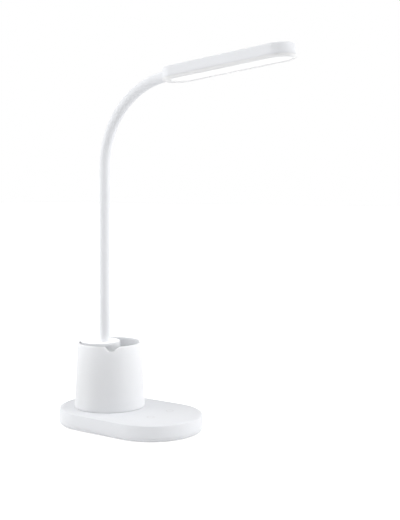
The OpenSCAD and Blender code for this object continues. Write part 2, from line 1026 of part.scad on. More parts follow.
// One length of a tube in the neck. foot_z is the lower end of link 0, and tail is how far link 8
// reaches past the end of the arc.
module neck_link(i, ro, ri, foot_z, tail) {
    if (i == 0)
        translate([neck_x, 0, foot_z])
            tube(ro, ri, joint_z(1) - foot_z, false, true);
    else if (i < lower_links + 1)
        at_joint(i)
            tube(ro, ri, joint_z(i + 1) - joint_z(i), true, true);
    else {
        at_joint(i) {
            tube(ro, ri, stub_len + weld_len, true, false);
            tube_arc(ro, ri);
            at_arc_end()
                translate([0, 0, -weld_len])
                    tube(ro, ri, stub_len + weld_len + (i == last_link ? tail : 0), false, i < last_link);
        }
    }
}

module neck_sleeve(i) {
    color(soft_white)
        neck_link(i, neck_r, neck_r - sleeve_wall, sleeve_foot_z, sleeve_in_head - fit_gap);
}

module neck_core(i) {
    color(steel)
        neck_link(i, core_r, core_bore_r, core_foot_z, sleeve_in_head + core_in_block);
}

module neck_wires(i) {
    color(chip_black)
        neck_link(i, wires_r, 0, core_foot_z, sleeve_in_head + core_in_block);
}

// ---------- Head ----------

module in_head() {
    translate([joint_x(last_link + 1), 0, joint_z(last_link + 1)])
        rotate([0, -head_tilt, 0])
            translate([head_len / 2 - head_over_neck, 0, -neck_in_head_z])
                children();
}

module head_shape() {
    edge_profile(head_r, head_r - head_draft, 0, head_ht, head_low_round, head_top_round);
}

module neck_entry() {
    translate([-head_len / 2 - past, 0, neck_in_head_z])
        rotate([0, 90, 0])
            cylinder(r = neck_r + fit_gap, h = sleeve_in_head + head_over_neck + past);
}

module at_head_screws() {
    pitch = led_board_len / head_screw_count;
    for (i = [0:head_screw_count - 1])
        translate([led_board_x + pitch * (i + 0.5), 0, 0])
            children();
}

module at_block_screws() {
    for (side = [-1, 1])
        translate([block_x + block_len / 2, side * block_screw_y, 0])
            children();
}

module head_cover() {
    color(white)
        in_head()
            difference() {
                union() {
                    difference() {
                        racetrack(head_half)
                            intersection() {
                                head_shape();
                                translate([0, head_low_round])
                                    square([head_r, head_ht]);
                            }
                        racetrack_plate(head_half, head_r - head_wall - head_draft,
                            head_low_round - past, head_under - head_low_round + past);
                    }
                    at_head_screws()
                        translate([0, 0, led_board_z + board_t])
                            cylinder(r = head_boss_r, h = head_under - led_board_z - board_t);
                    at_block_screws()
                        translate([0, 0, block_z + block_ht])
                            cylinder(r = head_boss_r, h = head_under - block_z - block_ht);
                }
                neck_entry();
                at_head_screws()
                    translate([0, 0, led_board_z])
                        cylinder(r = small_screw_r + pilot_gap, h = head_under - led_board_z);
                at_block_screws()
                    translate([0, 0, block_z])
                        cylinder(r = small_screw_r + pilot_gap, h = head_under - block_z + head_wall / 2);
            }
}

module head_frame() {
    color(white)
        in_head()
            difference() {
                union() {
                    racetrack(head_half)
                        intersection() {
                            head_shape();
                            square([head_r, head_low_round]);
                        }
                    racetrack(head_half)
                        translate([head_r - head_wall - head_draft - fit_gap - head_lip_t, head_low_round])
                            square([head_lip_t, head_lip_h]);
                }
                translate([window_shift, 0, 0]) {
                    racetrack_plate(window_half, window_r, -past, head_low_round + 2 * past);
                    racetrack_plate(window_half, window_r + window_edge, window_z, head_low_round + past);
                }
                neck_entry();
                translate([block_x - slip_gap, -block_wid / 2 - slip_gap, block_z - fit_gap])
                    cube([block_len, block_wid + 2 * slip_gap, head_low_round]);
            }
}

module head_diffuser() {
    color(glow)
        in_head()
            translate([window_shift, 0, 0])
                racetrack_plate(window_half, window_r + window_edge - fit_gap, window_z, window_t);
}

module led_board() {
    color(soft_white)
        in_head()
            difference() {
                translate([led_board_x, -led_board_wid / 2, led_board_z])
                    cube([led_board_len, led_board_wid, board_t]);
                at_head_screws()
                    translate([0, 0, led_board_z - past])
                        cylinder(r = small_screw_r + slip_gap, h = board_t + 2 * past);
            }
}

module leds() {
    pitch = led_board_len / led_count;
    color(led_yellow)
        in_head()
            for (i = [0:led_count - 1])
                for (side = [-1, 1])
                    translate([
                        led_board_x + pitch * (i + 0.5) - led_len / 2,
                        side * led_row_gap / 2 - led_wid / 2, led_board_z - led_t
                    ])
                        cube([led_len, led_wid, led_t]);
}

module head_ferrule() {
    color(steel)
        in_head()
            difference() {
                translate([block_x, -block_wid / 2, block_z])
                    cube([block_len, block_wid, block_ht]);
                translate([block_x - past, 0, neck_in_head_z])
                    rotate([0, 90, 0])
                        cylinder(r = core_r + pilot_gap, h = core_in_block + past);
                translate([block_x, 0, neck_in_head_z])
                    rotate([0, 90, 0])
                        cylinder(r = core_bore_r, h = block_len + past);
                at_block_screws() {
                    translate([0, 0, block_z - past])
                        cylinder(r = small_head_r + fit_gap, h = screw_head_h + past);
                    translate([0, 0, block_z])
                        cylinder(r = small_screw_r + slip_gap, h = block_ht + past);
                }
            }
}

module head_screws() {
    color(steel)
        in_head() {
            at_head_screws()
                screw_up(led_board_z - screw_head_h, head_screw_len, small_screw_r, small_head_r);
            at_block_screws()
                screw_up(block_z, head_under - block_z - screw_head_h, small_screw_r, small_head_r);
        }
}

module head_leads() {
    loop_x = block_x + block_len + head_lead_loop;
    lead_on_board = led_board_z + board_t + lead_r;
    color(chip_black)
        in_head()
            wire_run([
                [block_x + core_in_block, 0, neck_in_head_z],
                [loop_x, 0, neck_in_head_z],
                [loop_x, head_lead_y, lead_on_board],
                [led_board_x + head_lead_end, head_lead_y, lead_on_board]
            ], lead_r);
}

base_cover();
base_plate();
foot_pad();
ballast_plate();
base_screws();
battery();
battery_pad();
main_board();
board_parts();
board_screws();
charge_board();
usb_inlet();
touch_springs();
touch_marks();
base_leads();
bucket();
light_column();
column_screws();
night_diffuser();
night_board();
night_leds();
neck_ferrule();
neck_nut();
neck_leads();
for (i = [0:last_link]) {
    neck_sleeve(i);
    neck_core(i);
    neck_wires(i);
}
head_cover();
head_frame();
head_diffuser();
led_board();
leds();
head_ferrule();
head_screws();
head_leads();
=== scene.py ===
"""Looks of a white desk lamp with a flexible neck, a pen cup with phone notches and a night light.

Metres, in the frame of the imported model: +X forward under the head, +Z up, origin on the desk.
The shells, windows, marks and lengths of neck skin are closed meshes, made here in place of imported
solids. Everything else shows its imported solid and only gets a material.
"""
import json
import math

import bmesh
import bpy
from mathutils import Matrix, Vector


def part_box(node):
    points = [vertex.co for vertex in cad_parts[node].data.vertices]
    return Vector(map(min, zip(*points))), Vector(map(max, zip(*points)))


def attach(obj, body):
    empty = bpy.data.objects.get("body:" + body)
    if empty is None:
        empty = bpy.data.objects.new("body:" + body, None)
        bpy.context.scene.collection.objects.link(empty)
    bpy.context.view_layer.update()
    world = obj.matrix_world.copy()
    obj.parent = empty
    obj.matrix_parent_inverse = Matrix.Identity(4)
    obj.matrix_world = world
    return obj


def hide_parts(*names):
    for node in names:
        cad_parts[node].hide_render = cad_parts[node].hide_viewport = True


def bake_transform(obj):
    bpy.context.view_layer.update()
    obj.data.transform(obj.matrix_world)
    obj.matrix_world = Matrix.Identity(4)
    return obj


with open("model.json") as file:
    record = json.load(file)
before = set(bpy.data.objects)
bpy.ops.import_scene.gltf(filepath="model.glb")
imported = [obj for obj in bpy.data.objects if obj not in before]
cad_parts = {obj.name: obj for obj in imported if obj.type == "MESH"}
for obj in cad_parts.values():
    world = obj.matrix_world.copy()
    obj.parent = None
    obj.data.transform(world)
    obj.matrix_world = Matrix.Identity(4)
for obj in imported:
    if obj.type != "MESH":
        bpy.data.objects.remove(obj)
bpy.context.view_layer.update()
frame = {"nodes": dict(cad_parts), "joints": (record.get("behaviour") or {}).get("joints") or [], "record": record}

MM = 0.001

# ---------- Sizes, read from the frame where it holds them ----------

# A racetrack is two half circles of radius R about points at -HALF and +HALF on its long axis.
# DRAFT is how far a side leans in from its lower round to its top.
base_low, base_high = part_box("base_cover")
BASE_LEN = base_high.x - base_low.x
BASE_WID = base_high.y - base_low.y
BASE_R = BASE_WID / 2
BASE_HALF = (BASE_LEN - BASE_WID) / 2
BASE_TOP = base_high.z
BASE_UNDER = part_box("base_plate")[0].z
BASE_DRAFT = 0.7 * MM
BASE_LOW_ROUND = 2.6 * MM
BASE_LOW_ROUND_Z = BASE_UNDER + BASE_LOW_ROUND
BASE_WALL = 2.4 * MM
# The base's border falls by CROWN_DROP over CROWN_WID, and its edge is rounded by CROWN_EDGE.
CROWN_WID = 5.6 * MM
CROWN_DROP = 1.6 * MM
CROWN_EDGE = 0.6 * MM
SEAM_Z = base_low.z
SEAM_HT = 0.15 * MM
SEAM_DEEP = 0.5 * MM
# Round on the free edges of the shells
EDGE = 0.15 * MM

pad_low, pad_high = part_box("foot_pad")
PAD_R = (pad_high.y - pad_low.y) / 2
PAD_HALF = (pad_high.x - pad_low.x) / 2 - PAD_R

cup_low, cup_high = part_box("bucket")
CUP_X = (cup_low.x + cup_high.x) / 2
CUP_LOW_R = (cup_high.y - cup_low.y) / 2
CUP_TOP = cup_high.z
CUP_TOP_R = 39.7 * MM
CUP_WALL = 2.2 * MM
CUP_BEAD = CUP_WALL / 2
CUP_FLOOR = 2.5 * MM
CUP_FOOT_ROUND = 3 * MM
NOTCH_X = -6.0 * MM
NOTCH_DEPTH = 5.6 * MM
NOTCH_SLOPE = math.radians(52)
NOTCH_ROUND = 2 * MM
NOTCH_FLAT = 2.6 * MM

column_low, column_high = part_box("light_column")
COLUMN_R = (column_high.y - column_low.y) / 2
COLUMN_X = column_high.x - COLUMN_R
# The column's rear wall follows the cup's, at this distance from the cup's middle.
COLUMN_REAR_R = CUP_X - column_low.x
COLUMN_WALL = 1.8 * MM
COLUMN_EDGE = 0.5 * MM
COLUMN_LEDGE = 2.2 * MM
COLUMN_LEDGE_T = 1.5 * MM

night_low, night_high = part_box("night_diffuser")
NIGHT_INSET = column_high.x - night_high.x

# The neck is upright to its fifth joint, where its arc begins.
JOINTS = [Vector(j["pos_m"]) for j in frame["joints"]]
NECK_X = JOINTS[0].x
BEND_Z = JOINTS[4].z
BEND_R = 108 * MM
HEAD_TILT = math.radians(5.7)
ARC_ANGLE = math.pi / 2 - HEAD_TILT
sleeve_low, sleeve_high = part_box("neck_sleeve_0")
NECK_R = (sleeve_high.y - sleeve_low.y) / 2
NECK_BORE_R = 5.4 * MM
NECK_FOOT_Z = sleeve_low.z
NECK_RISE = BEND_Z - NECK_FOOT_Z
# Length of the middle line up to the end of its arc, and how far the skin runs on into the head
NECK_LEN = NECK_RISE + BEND_R * ARC_ANGLE
NECK_IN_HEAD = 5.9 * MM

HEAD_LEN = 175.5 * MM
HEAD_R = (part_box("head_frame")[1].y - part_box("head_frame")[0].y) / 2
HEAD_HALF = HEAD_LEN / 2 - HEAD_R
HEAD_HT = 16.2 * MM
HEAD_WALL = 1.8 * MM
HEAD_LOW_ROUND = 3.5 * MM
HEAD_TOP_ROUND = 1.2 * MM
HEAD_DRAFT = 0.5 * MM
# The head begins this far before the end of the neck's arc.
HEAD_OVER_NECK = 1 * MM
HEAD_SEAM = HEAD_LOW_ROUND
WINDOW_R = 15.8 * MM
WINDOW_LEDGE_R = 17 * MM
# The window is shorter at the rear, so its middle is shifted this far towards the tip.
WINDOW_SHIFT = 3 * MM
WINDOW_HALF = HEAD_HALF - WINDOW_SHIFT
WINDOW_Z = 1 * MM
WINDOW_T = 1.6 * MM

TOUCH_R = 4.8 * MM
TOUCH_LINE = 1 * MM
touch_low, touch_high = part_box("touch_marks")
TOUCH_X = (touch_low.x + touch_high.x) / 2
TOUCH_Y = touch_high.y - TOUCH_R

inlet_low, inlet_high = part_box("usb_inlet")
INLET_HT = inlet_high.z - inlet_low.z
INLET_WID = inlet_high.y - inlet_low.y
INLET_Z = (inlet_low.z + inlet_high.z) / 2

# ---------- Meshes ----------

SMOOTH_BELOW = math.radians(32)
MERGE_BELOW = 1e-7
ROUND_SIDES = 64


def turns_round(steps):
    """Evenly spaced angles of one full turn."""
    return [2 * math.pi * i / steps for i in range(steps)]


def arc(cx, cz, r, start, end, steps):
    """Points of an arc, from start to end in degrees."""
    turns = [math.radians(start + (end - start) * i / steps) for i in range(steps + 1)]
    return [(cx + r * math.cos(t), cz + r * math.sin(t)) for t in turns]


def shade_smooth(mesh):
    """Smooth shading, with the edges kept sharp where the faces meet at a larger angle."""
    for polygon in mesh.polygons:
        polygon.use_smooth = True
    mesh.set_sharp_from_angle(angle=SMOOTH_BELOW)


def finish_mesh(name, bm):
    """Makes an object of a bmesh, with doubles merged and normals outwards."""
    bmesh.ops.remove_doubles(bm, verts=bm.verts, dist=MERGE_BELOW)
    bmesh.ops.recalc_face_normals(bm, faces=bm.faces)
    mesh = bpy.data.meshes.new(name)
    bm.to_mesh(mesh)
    bm.free()
    shade_smooth(mesh)
    piece = bpy.data.objects.new(name, mesh)
    bpy.context.scene.collection.objects.link(piece)
    return piece


def weigh_normals(piece):
    """Lets the large flat faces set the shading beside a rounded edge."""
    weigh = piece.modifiers.new("weigh", "WEIGHTED_NORMAL")
    weigh.keep_sharp = True
    weigh.weight = 100
    return piece


def add_rows(bm, rows, loop=False):
    """Joins rings of points with quads. With loop, the last ring joins the first."""
    rings = [[bm.verts.new(p) for p in row] for row in rows]
    pairs = list(zip(rings, rings[1:]))
    if loop:
        pairs.append((rings[-1], rings[0]))
    for low, high in pairs:
        for i in range(len(low)):
            j = (i + 1) % len(low)
            bm.faces.new((low[i], low[j], high[j], high[i]))
    return rings


def add_ladder(bm, ring):
    """Fills a flat ring that is symmetric about its first point, with rungs from side to side."""
    count = len(ring)
    half = count // 2
    bm.faces.new((ring[0], ring[1], ring[-1]))
    for i in range(1, half - 1):
        bm.faces.new((ring[i], ring[i + 1], ring[count - i - 1], ring[count - i]))
    bm.faces.new((ring[half - 1], ring[half], ring[half + 1]))


def add_fan(bm, ring, centre):
    """Fills a ring with triangles that meet at a point."""
    hub = bm.verts.new(centre)
    for i in range(len(ring)):
        bm.faces.new((ring[i], ring[(i + 1) % len(ring)], hub))


def racetrack_ring(half, r, z, arc_steps=48, side_steps=24):
    """A racetrack outline from its tip at +X round to it again."""
    quarter = arc_steps // 2
    points = []
    for i in range(quarter):
        t = math.pi / 2 * i / quarter
        points.append((half + r * math.cos(t), r * math.sin(t), z))
    for i in range(side_steps):
        points.append((half - 2 * half * i / side_steps, r, z))
    for i in range(arc_steps):
        t = math.pi / 2 + math.pi * i / arc_steps
        points.append((-half + r * math.cos(t), r * math.sin(t), z))
    for i in range(side_steps):
        points.append((-half + 2 * half * i / side_steps, -r, z))
    for i in range(quarter):
        t = -math.pi / 2 + math.pi / 2 * i / quarter
        points.append((half + r * math.cos(t), r * math.sin(t), z))
    return points


def racetrack_piece(name, half, profile):
    """A closed racetrack body. The profile runs in (radius, z), and its two ends are filled."""
    bm = bmesh.new()
    rings = add_rows(bm, [racetrack_ring(half, r, z) for r, z in profile])
    add_ladder(bm, rings[0])
    add_ladder(bm, rings[-1])
    return finish_mesh(name, bm)


def cut(piece, cutter):
    """Cuts one closed mesh out of another and keeps the result as plain mesh."""
    saw = piece.modifiers.new("cut", "BOOLEAN")
    saw.object = cutter
    saw.operation = "DIFFERENCE"
    saw.solver = "EXACT"
    bpy.context.view_layer.update()
    depsgraph = bpy.context.evaluated_depsgraph_get()
    mesh = bpy.data.meshes.new_from_object(piece.evaluated_get(depsgraph))
    piece.modifiers.clear()
    piece.data = mesh
    mesh.name = piece.name
    shade_smooth(mesh)
    bpy.data.objects.remove(cutter)
    return piece


# ---------- Base ----------


def base_wall_r(z):
    """Radius of the drafted outside of the base at a height."""
    return BASE_R - BASE_DRAFT * (z - BASE_LOW_ROUND_Z) / (BASE_TOP - BASE_LOW_ROUND_Z)


def inlet_cutter():
    """A slot-shaped bar through the rear wall of the base."""
    gap = 0.3 * MM
    reach_out = 2 * MM
    reach_in = 6 * MM
    r = INLET_HT / 2 + gap
    half = INLET_WID / 2 + gap - r
    slot = racetrack_ring(half, r, 0, arc_steps=24, side_steps=4)
    rear_x = -BASE_LEN / 2
    rows = []
    for x in (rear_x - reach_out, rear_x + reach_in):
        rows.append([(x, y, INLET_Z + z) for y, z, _ in slot])
    bm = bmesh.new()
    for ring in add_rows(bm, rows):
        add_ladder(bm, ring)
    return finish_mesh("inlet_cutter", bm)


def crown_profile():
    """The base's upper edge: a small round on the side, then the crowned border to the top."""
    top_run = 4 * MM
    crown_x = BASE_R - BASE_DRAFT - CROWN_WID
    crown_r = (CROWN_WID ** 2 + CROWN_DROP ** 2) / (2 * CROWN_DROP)
    crown_z = BASE_TOP - crown_r
    edge_x = base_wall_r(BASE_TOP - CROWN_DROP) - CROWN_EDGE
    edge_rise = math.sqrt((crown_r - CROWN_EDGE) ** 2 - (edge_x - crown_x) ** 2)
    turn = math.degrees(math.atan2(edge_rise, edge_x - crown_x))
    profile = arc(edge_x, crown_z + edge_rise, CROWN_EDGE, 0, turn, steps=5)
    profile += arc(crown_x, crown_z, crown_r, turn, 90, steps=8)[1:]
    return profile + [(crown_x - top_run, BASE_TOP)]


def make_base_cover():
    """The base's upper shell, open below, with the inlet's hole in its rear wall."""
    inner_r = BASE_R - BASE_WALL - BASE_DRAFT / 2
    inner_round = 1 * MM
    ceiling = BASE_TOP - BASE_WALL
    ceiling_run = 8 * MM
    low_r = base_wall_r(SEAM_Z)
    crown = crown_profile()
    side_steps = 4
    side_ht = crown[0][1] - SEAM_Z
    side_zs = [SEAM_Z + side_ht * i / side_steps for i in range(1, side_steps)]
    profile = [(inner_r - ceiling_run, ceiling), (inner_r - inner_round, ceiling)]
    profile += arc(inner_r - inner_round, ceiling - inner_round, inner_round, 90, 0, steps=4)
    profile += [(inner_r, SEAM_Z), (low_r - EDGE, SEAM_Z)]
    profile += arc(low_r - EDGE, SEAM_Z + EDGE, EDGE, -90, 0, steps=3)
    profile += [(base_wall_r(z), z) for z in side_zs]
    profile += crown
    piece = racetrack_piece("base_cover_shell", BASE_HALF, profile)
    cut(piece, inlet_cutter())
    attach(weigh_normals(piece), "base")
    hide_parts("base_cover")
    return piece


def make_base_plate():
    """The base's lower shell: the pad's recess below, and the seam's groove at its upper edge."""
    face_run = 6 * MM
    groove_r = BASE_R - SEAM_DEEP - BASE_DRAFT / 2
    groove_z = SEAM_Z - SEAM_HT
    side_r = base_wall_r(groove_z)
    recess_r = PAD_R + 0.1 * MM
    recess_z = pad_high.z
    profile = [(recess_r - face_run, recess_z), (recess_r, recess_z)]
    profile += [(recess_r, BASE_UNDER + EDGE)]
    profile += arc(recess_r + EDGE, BASE_UNDER + EDGE, EDGE, 180, 270, steps=3)
    profile += arc(BASE_R - BASE_LOW_ROUND, BASE_LOW_ROUND_Z, BASE_LOW_ROUND, -90, 0, steps=10)
    profile += arc(side_r - EDGE, groove_z - EDGE, EDGE, 0, 90, steps=3)
    profile += [(groove_r, groove_z), (groove_r, SEAM_Z), (groove_r - face_run, SEAM_Z)]
    piece = racetrack_piece("base_plate_shell", BASE_HALF, profile)
    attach(weigh_normals(piece), "base")
    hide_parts("base_plate")
    return piece


def make_foot_pad():
    """The foam sheet under the base, with its lower edge rounded."""
    edge = 0.3 * MM
    profile = arc(PAD_R - edge, pad_low.z + edge, edge, -90, 0, steps=4)
    profile += [(PAD_R, pad_high.z)]
    piece = racetrack_piece("foot_pad_foam", PAD_HALF, profile)
    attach(weigh_normals(piece), "base")
    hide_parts("foot_pad")
    return piece


def make_touch_marks():
    """Two thin rings, just proud of the cover."""
    proud = 0.05 * MM
    deep = 0.3 * MM
    inner_r = TOUCH_R - TOUCH_LINE
    low_z = BASE_TOP - deep
    high_z = BASE_TOP + proud
    profile = [(inner_r, low_z), (inner_r, BASE_TOP), (inner_r + proud, high_z),
               (TOUCH_R - proud, high_z), (TOUCH_R, BASE_TOP), (TOUCH_R, low_z)]
    turns = turns_round(ROUND_SIDES)
    bm = bmesh.new()
    for y in (-TOUCH_Y, TOUCH_Y):
        rows = [[(TOUCH_X + r * math.cos(t), y + r * math.sin(t), z) for t in turns]
                for r, z in profile]
        add_rows(bm, rows, loop=True)
    piece = finish_mesh("touch_rings", bm)
    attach(piece, "base")
    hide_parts("touch_marks")
    return piece


# ---------- Cup ----------

RIM_Z = CUP_TOP - CUP_BEAD
RIM_MIDDLE_R = CUP_TOP_R - CUP_BEAD
# Up to here the wall's points are evenly spaced. Above, they move over to those of the rim.
EVEN_Z = CUP_TOP - 16 * MM
WALL_STEPS = 10
BEAD_STEPS = 12
FLOOR_SHARES = (0.2, 0.6)


def cup_outer_r(z):
    """Radius of the cup's outside at a height."""
    return CUP_LOW_R + (CUP_TOP_R - CUP_LOW_R) * (z - BASE_TOP) / (RIM_Z - BASE_TOP)


def notch_path():
    """Points (x, depth) along a notch from its front shoulder to its rear one."""
    round_steps = 6
    slope_steps = 5
    r = NOTCH_ROUND
    flat = NOTCH_FLAT / 2
    out = r * math.sin(NOTCH_SLOPE)
    drop = r * (1 - math.cos(NOTCH_SLOPE))
    run = (NOTCH_DEPTH - 2 * drop) / math.tan(NOTCH_SLOPE)
    half_top = flat + 2 * out + run
    turns = [NOTCH_SLOPE * i / round_steps for i in range(round_steps + 1)]
    half = [(half_top - r * math.sin(t), -r + r * math.cos(t)) for t in turns]
    high_x, high_z = half[-1]
    low_x, low_z = flat + out, drop - NOTCH_DEPTH
    for i in range(1, slope_steps):
        share = i / slope_steps
        half.append((high_x + (low_x - high_x) * share, high_z + (low_z - high_z) * share))
    half += [(flat + r * math.sin(t), r - NOTCH_DEPTH - r * math.cos(t)) for t in reversed(turns)]
    half += [(0, -NOTCH_DEPTH)]
    rear = [(-x, z) for x, z in reversed(half[:-1])]
    return [(NOTCH_X - CUP_X + x, z) for x, z in half + rear]


def rim_columns(front_steps=56, rear_steps=120):
    """The rim's line round the cup: for each column its (outer turn, inner turn, depth)."""

    def turn(x, r):
        return math.acos(max(-1, min(1, x / r)))

    notch = [(turn(x, CUP_TOP_R), turn(x, CUP_TOP_R - CUP_WALL), z) for x, z in notch_path()]
    first = notch[0]
    last = notch[-1]
    columns = []
    for i in range(front_steps):
        share = 2 * i / front_steps - 1
        columns.append((first[0] * share, first[1] * share, 0))
    columns += notch
    for i in range(1, rear_steps):
        share = i / rear_steps
        columns.append((last[0] + 2 * (math.pi - last[0]) * share,
                        last[1] + 2 * (math.pi - last[1]) * share, 0))
    columns += [(2 * math.pi - a, 2 * math.pi - b, z) for a, b, z in reversed(notch)][:-1]
    return columns


def rim_normals(columns):
    """For each column, the direction out of the rim, square to its line in the unrolled wall."""
    count = len(columns)

    def line(k):
        a, b, depth = columns[k % count]
        turn = (a + b) / 2 + 2 * math.pi * (k // count)
        return Vector((turn * RIM_MIDDLE_R, RIM_Z + depth))

    normals = []
    for k in range(count):
        along = line(k + 1) - line(k - 1)
        along.normalize()
        normals.append(Vector((-along.y, along.x)))
    return normals


def make_cup():
    """The cup, with a bead-round rim that follows the notches."""
    columns = rim_columns()
    count = len(columns)
    normals = rim_normals(columns)
    even_turns = [columns[0][0] + 2 * math.pi * k / count for k in range(count)]

    def place(turn, r, z):
        return (CUP_X + r * math.cos(turn), r * math.sin(turn), z)

    def level_row(r, z):
        return [place(turn, r, z) for turn in even_turns]

    def wall_row(share, inner):
        """A ring of the wall: share 0 is the even circle at EVEN_Z and share 1 is the rim."""
        row = []
        for k in range(count):
            turn = even_turns[k] * (1 - share) + columns[k][1 if inner else 0] * share
            z = EVEN_Z * (1 - share) + (RIM_Z + columns[k][2]) * share
            r = cup_outer_r(z) - (CUP_WALL if inner else 0)
            row.append(place(turn, r, z))
        return row

    def bead_row(angle):
        """A ring of the rim's round edge: 0 is outside, 180 is inside."""
        mix = (1 - math.cos(math.radians(angle))) / 2
        rise = math.sin(math.radians(angle))
        row = []
        for k in range(count):
            a, b, depth = columns[k]
            turn = a * (1 - mix) + b * mix
            z = RIM_Z + depth
            r = cup_outer_r(z) - CUP_WALL * mix
            lift = normals[k] * CUP_BEAD * rise
            row.append(place(turn + lift.x / r, r, z + lift.y))
        return row

    low_z = BASE_TOP + EDGE
    wall_zs = [low_z + (EVEN_Z - BASE_TOP - EDGE) * i / WALL_STEPS for i in range(WALL_STEPS + 1)]
    floor_z = BASE_TOP + CUP_FLOOR
    floor_r = cup_outer_r(floor_z) - CUP_WALL
    foot_r = floor_r - CUP_FOOT_ROUND
    foot = arc(foot_r, floor_z + CUP_FOOT_ROUND, CUP_FOOT_ROUND, 0, -90, steps=8)
    rows = [level_row(CUP_LOW_R * share, BASE_TOP) for share in FLOOR_SHARES]
    rows += [level_row(CUP_LOW_R - EDGE, BASE_TOP)]
    rows += [level_row(cup_outer_r(z), z) for z in wall_zs]
    rows += [wall_row(i / WALL_STEPS, inner=False) for i in range(1, WALL_STEPS + 1)]
    rows += [bead_row(180 * i / BEAD_STEPS) for i in range(1, BEAD_STEPS)]
    rows += [wall_row(1 - i / WALL_STEPS, inner=True) for i in range(WALL_STEPS)]
    rows += [level_row(cup_outer_r(z) - CUP_WALL, z) for z in reversed(wall_zs[1:])]
    rows += [level_row(r, z) for r, z in foot]
    rows += [level_row(floor_r * share, floor_z) for share in reversed(FLOOR_SHARES)]
    bm = bmesh.new()
    rings = add_rows(bm, rows)
    add_fan(bm, rings[0], (CUP_X, 0, BASE_TOP))
    add_fan(bm, rings[-1], (CUP_X, 0, floor_z))
    piece = finish_mesh("cup_shell", bm)
    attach(weigh_normals(piece), "base")
    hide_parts("bucket")
    return piece


# ---------- Light column ----------

OUTLINE_STEPS = 160


def column_point(turn, inset, z):
    """A point of the column's outline: round in front, and along the cup's wall behind."""
    back = COLUMN_X - CUP_X
    rear_r = COLUMN_REAR_R - inset
    along = back * math.cos(turn)
    reach = -along + math.sqrt(along * along - back * back + rear_r * rear_r)
    r = min(COLUMN_R - inset, reach)
    return (COLUMN_X + r * math.cos(turn), r * math.sin(turn), z)


def make_column():
    """The light column: its wall, and the thin ring around the glowing face."""
    window_gap = 0.1 * MM
    side_steps = 12
    floor_z = column_low.z
    top = column_high.z
    ring = NIGHT_INSET - window_gap
    ledge = COLUMN_WALL + COLUMN_LEDGE
    ledge_z = night_low.z - COLUMN_LEDGE_T
    edge = arc(0, top - COLUMN_EDGE, COLUMN_EDGE, 90, 0, steps=6)
    profile = [(ledge, night_low.z), (ring, night_low.z), (ring, top - EDGE)]
    profile += [(ring - EDGE / 2, top - EDGE / 3), (ring - EDGE, top)]
    profile += [(COLUMN_EDGE - x, z) for x, z in edge]
    profile += [(0, top - (top - floor_z) * i / side_steps) for i in range(1, side_steps)]
    profile += [(0, floor_z), (COLUMN_WALL, floor_z), (COLUMN_WALL, ledge_z), (ledge, ledge_z)]
    turns = turns_round(OUTLINE_STEPS)
    bm = bmesh.new()
    add_rows(bm, [[column_point(t, inset, z) for t in turns] for inset, z in profile], loop=True)
    piece = finish_mesh("column_shell", bm)
    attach(weigh_normals(piece), "base")
    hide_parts("light_column")
    return piece


def make_night_window():
    """The glowing face, with the neck's hole through it."""
    hole_r = NECK_R + 0.3 * MM
    edge = 0.25 * MM
    bevel = edge * 0.3
    top_steps = 8
    top = night_high.z
    low = night_low.z

    def row(share, z, inset=0):
        """A ring between the neck's hole at share 0 and the outer edge at share 1."""
        r = hole_r + inset
        points = []
        for t in turns_round(OUTLINE_STEPS):
            hole = Vector((NECK_X + r * math.cos(t), r * math.sin(t), z))
            rim = Vector(column_point(t, NIGHT_INSET + inset, z))
            points.append(hole.lerp(rim, share))
        return points

    rows = [row(0, low), row(0, top - edge), row(0, top - bevel, bevel), row(0, top, edge)]
    rows += [row(i / top_steps, top, edge) for i in range(1, top_steps)]
    rows += [row(1, top, edge), row(1, top - bevel, bevel), row(1, top - edge), row(1, low)]
    rows += [row(0.5, low)]
    bm = bmesh.new()
    add_rows(bm, rows, loop=True)
    piece = finish_mesh("night_window", bm)
    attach(weigh_normals(piece), "base")
    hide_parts("night_diffuser")
    return piece


# ---------- Neck ----------

RING_STEP = 1.5 * MM
MIN_STEPS = 4
NECK_SIDES = 48


def neck_point(s):
    """Point and direction of the neck's middle line, at the length s above its foot."""
    if s <= NECK_RISE:
        return Vector((NECK_X, 0, NECK_FOOT_Z + s)), Vector((0, 0, 1))
    turn = min(s - NECK_RISE, BEND_R * ARC_ANGLE) / BEND_R
    run = BEND_R * (1 - math.cos(turn))
    rise = BEND_R * math.sin(turn)
    way = Vector((math.sin(turn), 0, math.cos(turn)))
    return Vector((NECK_X + run, 0, BEND_Z + rise)) + way * max(0, s - NECK_LEN), way


def neck_length_to(joint):
    """Length along the neck from its foot to a joint."""
    if joint.z <= BEND_Z:
        return joint.z - NECK_FOOT_Z
    return NECK_RISE + BEND_R * math.asin((joint.z - BEND_Z) / BEND_R)


def tube_rows(start, end):
    """Rings of a closed tube wall from start to end, outside first and back along the bore."""
    steps = max(MIN_STEPS, round((end - start) / RING_STEP))
    side = Vector((0, 1, 0))
    turns = turns_round(NECK_SIDES)
    outside = []
    inside = []
    for i in range(steps + 1):
        at, way = neck_point(start + (end - start) * i / steps)
        up = way.cross(side)
        for rows, r in ((outside, NECK_R), (inside, NECK_BORE_R)):
            rows.append([at + (side * math.cos(t) + up * math.sin(t)) * r for t in turns])
    return outside + inside[::-1]


def make_neck():
    """One length of skin over each joint."""
    count = len(JOINTS)
    lengths = [neck_length_to(joint) for joint in JOINTS]
    mids = [(a + b) / 2 for a, b in zip(lengths, lengths[1:])]
    cuts = [0] + mids + [NECK_LEN + NECK_IN_HEAD]
    pieces = []
    for i in range(count):
        bm = bmesh.new()
        add_rows(bm, tube_rows(cuts[i], cuts[i + 1]), loop=True)
        piece = finish_mesh(f"neck_skin_{i + 1}", bm)
        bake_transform(piece)
        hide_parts(f"neck_sleeve_{i}")
        pieces.append(piece)
    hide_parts(f"neck_sleeve_{count}")
    return pieces


# ---------- Head ----------


